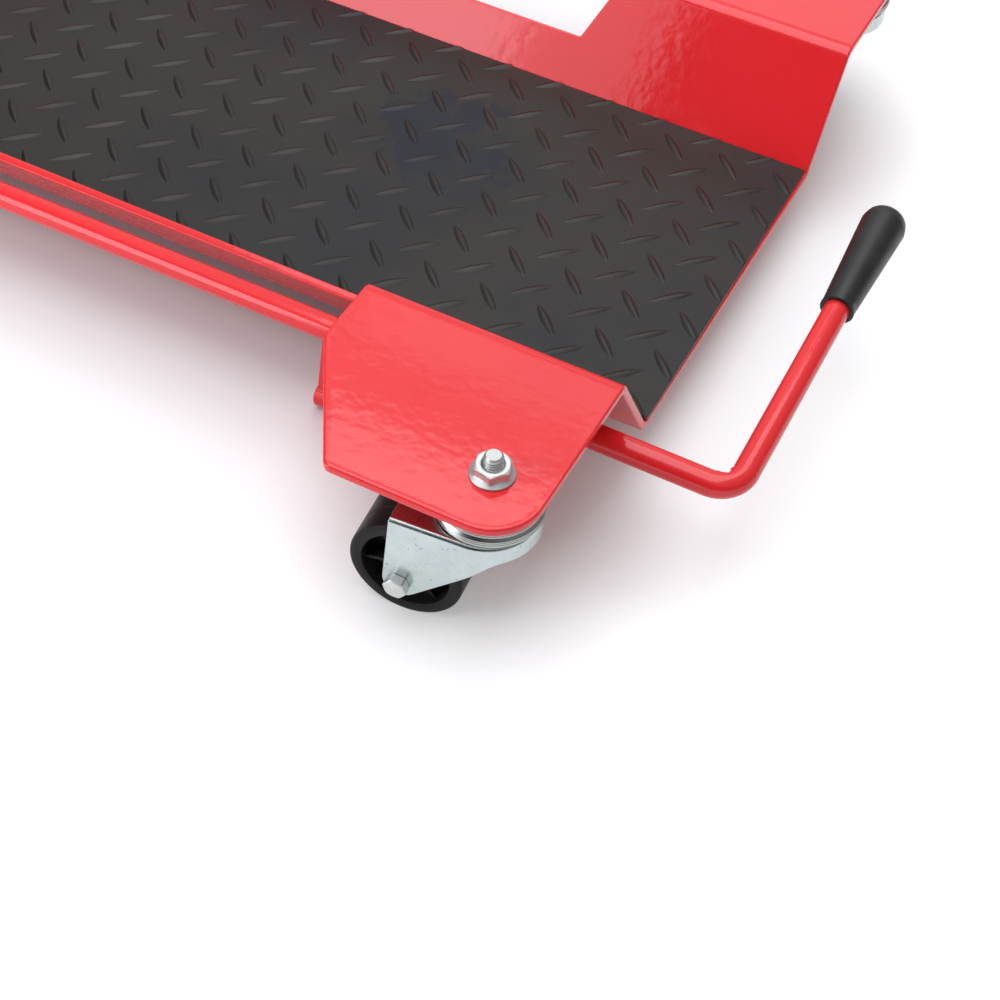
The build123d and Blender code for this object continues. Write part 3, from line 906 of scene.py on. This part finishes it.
class DOLLY_OT_dress_casters(bpy.types.Operator):
    """Forks, races, nuts and balls of the four casters"""
    bl_idname = "dolly.dress_casters"
    bl_label = "Dress the casters"

    def execute(self, context):
        metal = context.scene.dolly_metal
        zinc = finish_of(pressed_zinc, metal)
        bright = finish_of(bright_zinc, metal)
        race = finish_of(turned_steel, metal)
        upright = Matrix.Rotation(pi / 2, 4, "X")
        for corner in CORNERS:
            dressed(f"{corner}_fork", metal.edge, zinc)
            low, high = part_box(f"{corner}_swivel_race")
            middle = (low + high) / 2
            under = placed((middle.x, middle.y, 0.0), 0.0, upright)
            turned(f"{corner}_swivel_race", race_outline(high.z), under, race)
            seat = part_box(f"{corner}_flange_nut")[0].z
            above = placed((middle.x, middle.y, seat), NUT_TURN, upright)
            turned(f"{corner}_flange_nut", nut_outline, above, bright)
            dressed(f"{corner}_axle_nut", SMALL_EDGE, bright)
            for piece in ("race_balls", "thrust_washer", "axle_sleeve"):
                paint_node(f"{corner}_{piece}", bright)
        return {"FINISHED"}


# Sizes of the threads, and where an axle's thread starts, measured from the middle of its wheel
KING_THREAD = {"Radius": 0.00497, "Chamfer": 0.0013, "Along": 96}
AXLE_THREAD = {
    "Radius": 0.00397, "Depth": 0.0007, "Pitch": 0.00125, "Length": 0.0062, "Chamfer": 0.0008, "Along": 44}
AXLE_START = 0.0310
THREAD_SHARP = 32.0


class DOLLY_OT_cut_threads(bpy.types.Operator):
    """King bolts and axle bolts with their screw threads"""
    bl_idname = "dolly.cut_threads"
    bl_label = "Cut the threads"

    def execute(self, context):
        metal = context.scene.dolly_metal
        bright = finish_of(bright_zinc, metal)
        # Finish of the threads, with oily film and painted shade in their roots and painted shade on their tips
        oiled_and_shaded = finish_of(thread_zinc, metal)
        tree = thread_tree()
        for corner in CORNERS:
            bolt = f"{corner}_king_bolt"
            low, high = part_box(bolt)
            nut_low, nut_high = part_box(f"{corner}_flange_nut")
            start = Vector(((low.x + high.x) / 2, (low.y + high.y) / 2, (nut_low.z + nut_high.z) / 2))
            name = f"{bolt}_finish"
            shank = sliced(welded_copy(bolt), start, Vector((0, 0, 1)))
            put(name, softened(shank, name, BOLT_EDGE), "base", bright, [bolt])
            self.thread(f"{corner}_king_thread", "base", tree, oiled_and_shaded, {
                **KING_THREAD, "Depth": metal.thread_depth, "Pitch": metal.thread_pitch,
                "Length": high.z - start.z, "Base": start, "Turn": NOWHERE})

            middle, yaw, axis = wheel_pose(corner)
            heading = placed(middle, yaw, Matrix.Rotation(HEAD_TURN, 4, "Y"))
            turned(f"{corner}_axle_bolt", axle_outline, heading, bright)
            self.thread(f"{corner}_axle_thread", f"{corner}_caster", tree, oiled_and_shaded, {
                **AXLE_THREAD, "Base": middle + axis * AXLE_START, "Turn": (-pi / 2, 0.0, yaw)})
        return {"FINISHED"}

    def thread(self, name, body, tree, material, sizes):
        """Thread of a bolt, a piece of its own."""
        mesh = grown(bpy.data.meshes.new(name), name, tree, {**sizes, "Material": material})
        put(name, shaded(mesh, THREAD_SHARP), body, material)


# Outline of half a wheel: hub, recess, face, rounded edge and the tread with one moulding line
WHEEL_HALF = [
    (6.1, 25.3), (9.4, 25.3), (10.0, 24.7), (10.3, 10.4), (10.6, 9.8), (11.2, 9.5), (16.0, 9.2), (22.0, 9.5),
    (22.7, 9.8), (23.0, 10.4), (23.3, 19.8), (23.5, 20.3), (24.0, 20.5), (28.6, 20.5), (29.2, 20.35),
    (29.65, 19.95), (29.9, 19.4), (30.0, 18.8), (30.0, 7.4), (29.82, 7.2), (29.82, 6.9), (30.0, 6.7),
]
WHEEL_SEGMENTS = 128

# The ribs: section, reach from the axle in millimetres, number and turn of the first
RIB_SECTION = [
    (0.7, 17.0), (1.0, 16.7), (1.3, 9.5), (1.3, -9.5), (1.0, -16.7), (0.7, -17.0),
    (-0.7, -17.0), (-1.0, -16.7), (-1.3, -9.5), (-1.3, 9.5), (-1.0, 16.7), (-0.7, 17.0),
]
RIB_REACH = (9.7, 23.6)
RIB_COUNT = 6
RIB_PHASE = radians(10.0)


class DOLLY_OT_mould_wheels(bpy.types.Operator):
    """Moulded wheels with a recess on each face and ribs round the hub"""
    bl_idname = "dolly.mould_wheels"
    bl_label = "Mould the wheels"

    def execute(self, context):
        plastic = finish_of(moulded_plastic, context.scene.dolly_rubber)
        tree = ring_tree()
        outline = WHEEL_HALF + [(r, -y) for r, y in reversed(WHEEL_HALF)]
        for corner in CORNERS:
            middle, yaw, _ = wheel_pose(corner)
            heading = pi + yaw
            placing = placed(middle, heading)
            turned(f"{corner}_wheel", outline, placing, plastic, WHEEL_SEGMENTS)
            name = f"{corner}_wheel_ribs"
            ribs = grown(prism(RIB_SECTION, *RIB_REACH, name), name, tree, {
                "Count": RIB_COUNT, "Phase": RIB_PHASE, "Middle": middle, "Yaw": heading,
                "Material": plastic})
            put(name, shaded(ribs), f"{corner}_roller", plastic)
        return {"FINISHED"}


# The welds: how far a bead stands off its plate, the bare ends of a foot's bead, and the drops' step and seed
WELD_OFF_GUSSET = 0.0004
WELD_OFF_FOOT = 0.0003
WELD_BARE = 0.003
WELD_STEP = 0.7
WELD_SEED = 7
WELD_SHARP = 60.0


class DOLLY_OT_lay_welds(bpy.types.Operator):
    """Weld beads on the gussets and on the brake's feet"""
    bl_idname = "dolly.lay_welds"
    bl_label = "Lay the welds"

    def execute(self, context):
        bead = context.scene.dolly_metal.bead
        coat = finish_of(red_powder_coat, context.scene.dolly_paint)
        tree = bead_tree()
        for name, body, runs in (
                ("gusset_welds", "base", self.gusset_runs()), ("foot_welds", "brake", self.foot_runs())):
            beads = grown(path_mesh(runs, name), name, tree, {
                "Radius": bead, "Spacing": WELD_STEP * bead, "Seed": WELD_SEED, "Material": coat})
            put(name, shaded(beads, WELD_SHARP), body, coat)
        return {"FINISHED"}

    def gusset_runs(self):
        """Up the web and along the wing, on both faces of each gusset."""
        runs = []
        for gusset in GUSSETS:
            low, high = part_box(gusset)
            corner = high.y - (WELD_TOP - low.z) * WEB_SLOPE
            for x in (low.x - WELD_OFF_GUSSET, high.x + WELD_OFF_GUSSET):
                runs.append([(x, high.y, low.z + 0.001), (x, corner, WELD_TOP)])
                runs.append([(x, corner - 0.010, high.z), (x, low.y + 0.002, high.z)])
        return runs

    def foot_runs(self):
        """Along both faces of each foot's plate, under the rod and above the lower bar."""
        runs = []
        drop = (ROD_RADIUS ** 2 - (FOOT_PLATE / 2) ** 2) ** 0.5 + WELD_OFF_FOOT
        half = FOOT_TOP_HALF - WELD_BARE
        for foot in FEET:
            low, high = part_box(foot)
            middle = (low.x + high.x) / 2
            for face in (-1, 1):
                y = ROD_Y + face * (FOOT_PLATE / 2 + WELD_OFF_FOOT)
                for z in (ROD_Z - drop, FOOT_BAR_Z + drop):
                    runs.append([(middle - half, y, z), (middle + half, y, z)])
        return runs


FLOOR_RADIUS = 14.0
LAMP_TINT = (0.98, 0.985, 1.05)
FILM_WIDTH = 36.0


class DOLLY_OT_set_stage(bpy.types.Operator):
    """Pale floor, soft light and the camera"""
    bl_idname = "dolly.set_stage"
    bl_label = "Set the stage"

    def execute(self, context):
        stage = context.scene.dolly_stage
        self.lay_floor(stage)
        self.light_room(context, stage)
        self.hang_lamps(stage)
        self.aim_camera(context, stage)
        return {"FINISHED"}

    def lay_floor(self, stage):
        """Round floor that is wider than any view."""
        form = bmesh.new()
        bmesh.ops.create_circle(form, cap_ends=True, segments=96, radius=FLOOR_RADIUS)
        floor = linked("studio_floor", mesh_of(form, "studio_floor"))
        floor.data.materials.append(finish_of(studio_floor, stage))

    def light_room(self, context, stage):
        """Pale room: brightest above, dimmer towards the lever, dark low in front and at the front left."""
        world = bpy.data.worlds.new("studio")
        context.scene.world = world
        world.use_nodes = True
        tree = world.node_tree
        tree.nodes.clear()
        axes = axes_of(node(tree, "ShaderNodeTexCoord").outputs["Generated"])
        above = spread(axes["Z"], 0.0, 1.0, 1.0, 2.6)
        strength = calc(above, spread(axes["X"], -0.25, 0.7, 1.1, 0.42), "MULTIPLY")
        front = spread(axes["Y"], -0.35, -0.75)
        front = calc(front, spread(axes["Z"], 0.70, 0.55), "MULTIPLY")
        strength = calc(strength, spread(front, 0.0, 1.0, 1.0, 0.10), "MULTIPLY")
        left = calc(calc(axes["X"], -1.0, "MULTIPLY"), calc(axes["Y"], -0.8, "MULTIPLY"))
        left = calc(spread(left, 0.25, 0.5), spread(axes["Z"], 0.85, 0.7), "MULTIPLY")
        strength = calc(strength, spread(left, 0.0, 1.0, 1.0, 0.15), "MULTIPLY")
        strength = calc(strength, stage.sky, "MULTIPLY")
        sky = node(tree, "ShaderNodeBackground", {"Color": (1.0, 1.0, 1.0, 1.0), "Strength": strength})
        node(tree, "ShaderNodeOutputWorld", {"Surface": sky.outputs["Background"]})

    def hang_lamps(self, stage):
        """A row of soft lights above, and a soft window with a dimmer edge at the front left."""
        down, inward = (0.0, 0.0, 0.0), (pi / 2, 0.0, 0.0)
        for name, power, size, place, facing in (
                ("overhead", stage.overhead, (1.5, 2.25), (0.0, 0.125, 1.9), down),
                ("strip", stage.strip, (1.5, 0.2), (0.0, 1.5, 1.9), down),
                ("back", stage.back, (1.6, 0.7), (0.0, 2.95, 1.9), down),
                ("window", stage.window, (1.0, 1.1), (-0.87, -1.2, 0.65), inward),
                ("spill", stage.spill, (0.2, 1.1), (-0.27, -1.2, 0.65), inward)):
            lamp = bpy.data.lights.new(name, "AREA")
            lamp.energy = power
            lamp.color = LAMP_TINT
            lamp.shape = "RECTANGLE"
            lamp.size, lamp.size_y = size
            holder = linked(name, lamp)
            holder.location = place
            holder.rotation_euler = facing
            holder.visible_camera = False

    def aim_camera(self, context, stage):
        """Camera where the photograph was taken, in plain colours."""
        lens = bpy.data.cameras.new("photo_camera")
        lens.lens = stage.lens
        lens.sensor_width = FILM_WIDTH
        lens.clip_start = 0.01
        lens.clip_end = 100.0
        camera = linked("photo_camera", lens)
        turn, rise, lean = stage.azimuth, stage.elevation, stage.roll
        back = Vector((sin(turn) * cos(rise), -cos(turn) * cos(rise), sin(rise)))
        level = Vector((cos(turn), sin(turn), 0.0))
        upright = back.cross(level)
        right = cos(lean) * level + sin(lean) * upright
        up = back.cross(right)
        camera.matrix_world = Matrix.Translation(stage.eye) @ Matrix((right, up, back)).transposed().to_4x4()
        context.scene.camera = camera
        context.scene.view_settings.view_transform = "Standard"


class DOLLY_PT_sidebar(bpy.types.Panel):
    """Lists the dolly's operators"""
    bl_idname = "DOLLY_PT_sidebar"
    bl_label = "Motorcycle dolly"
    bl_space_type = "VIEW_3D"
    bl_region_type = "UI"
    bl_category = "Dolly"

    def draw(self, context):
        for operator in OPERATORS:
            self.layout.operator(operator.bl_idname)


SETTINGS = {
    "dolly_paint": DollyPaint,
    "dolly_rubber": DollyRubber,
    "dolly_metal": DollyMetal,
    "dolly_tread": DollyTread,
    "dolly_stage": DollyStage,
}
OPERATORS = (
    DOLLY_OT_paint_pan,
    DOLLY_OT_lay_mat,
    DOLLY_OT_dress_brake,
    DOLLY_OT_dress_casters,
    DOLLY_OT_cut_threads,
    DOLLY_OT_mould_wheels,
    DOLLY_OT_lay_welds,
    DOLLY_OT_set_stage,
)


def register():
    for group in SETTINGS.values():
        bpy.utils.register_class(group)
    for name, group in SETTINGS.items():
        setattr(bpy.types.Scene, name, PointerProperty(type=group))
    for operator in OPERATORS:
        bpy.utils.register_class(operator)
    bpy.utils.register_class(DOLLY_PT_sidebar)


def unregister():
    bpy.utils.unregister_class(DOLLY_PT_sidebar)
    for operator in reversed(OPERATORS):
        bpy.utils.unregister_class(operator)
    for name, group in reversed(SETTINGS.items()):
        delattr(bpy.types.Scene, name)
        bpy.utils.unregister_class(group)


def main():
    register()
    bpy.ops.dolly.paint_pan()
    bpy.ops.dolly.lay_mat()
    bpy.ops.dolly.dress_brake()
    bpy.ops.dolly.dress_casters()
    bpy.ops.dolly.cut_threads()
    bpy.ops.dolly.mould_wheels()
    bpy.ops.dolly.lay_welds()
    bpy.ops.dolly.set_stage()


if __name__ == "__main__":
    main()
